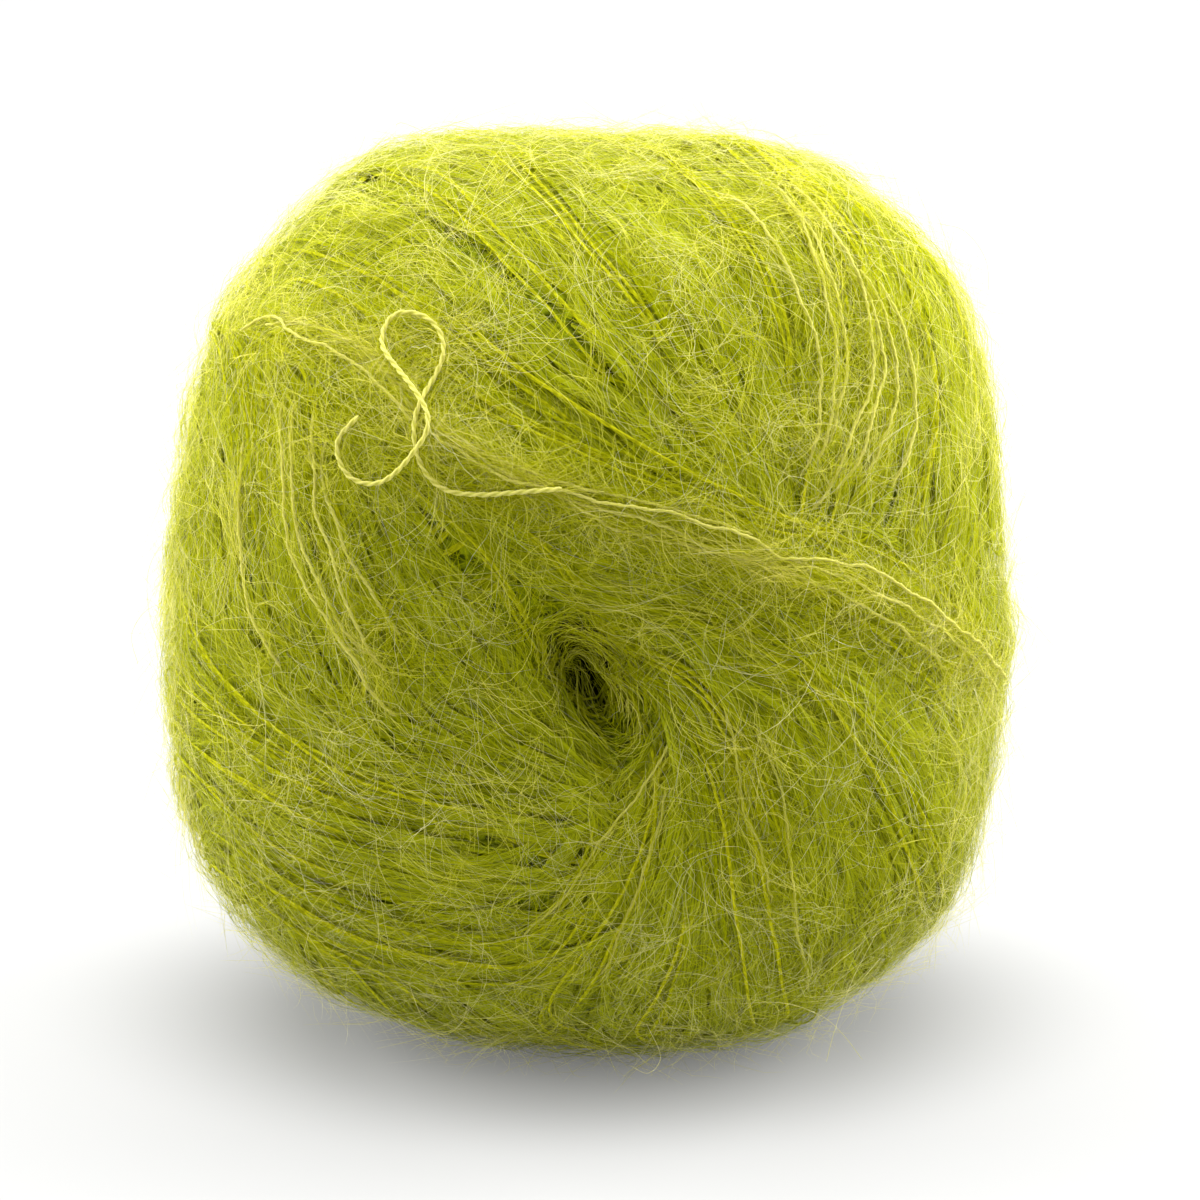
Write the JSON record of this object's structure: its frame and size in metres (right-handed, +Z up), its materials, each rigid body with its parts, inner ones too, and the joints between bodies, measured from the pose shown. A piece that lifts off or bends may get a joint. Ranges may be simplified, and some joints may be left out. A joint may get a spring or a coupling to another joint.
{
  "type": "ball of yarn",
  "caption": "Centre-pull ball of brushed mohair yarn with a pinched centre hole, a crossing belt of strands and a loose end in two small curls.",
  "frame": {"origin": "middle of the ball's box at its bottom, on the surface that the flat spot rests on", "axes": "+Z up; the winding axis runs along Y and the pinched end of the centre hole faces -Y; +X is to the right as that end is seen"},
  "size_m": [0.0924, 0.0866, 0.0962],
  "materials": {
    "brushed_yarn": "brushed mohair, lime green, with a soft halo of fine hair",
    "yarn_strand": "lace-weight mohair strand, pale lime"
  },
  "bodies": {
    "root": {"ball": "brushed_yarn", "loose_end": "yarn_strand"}
  },
  "joints": []
}
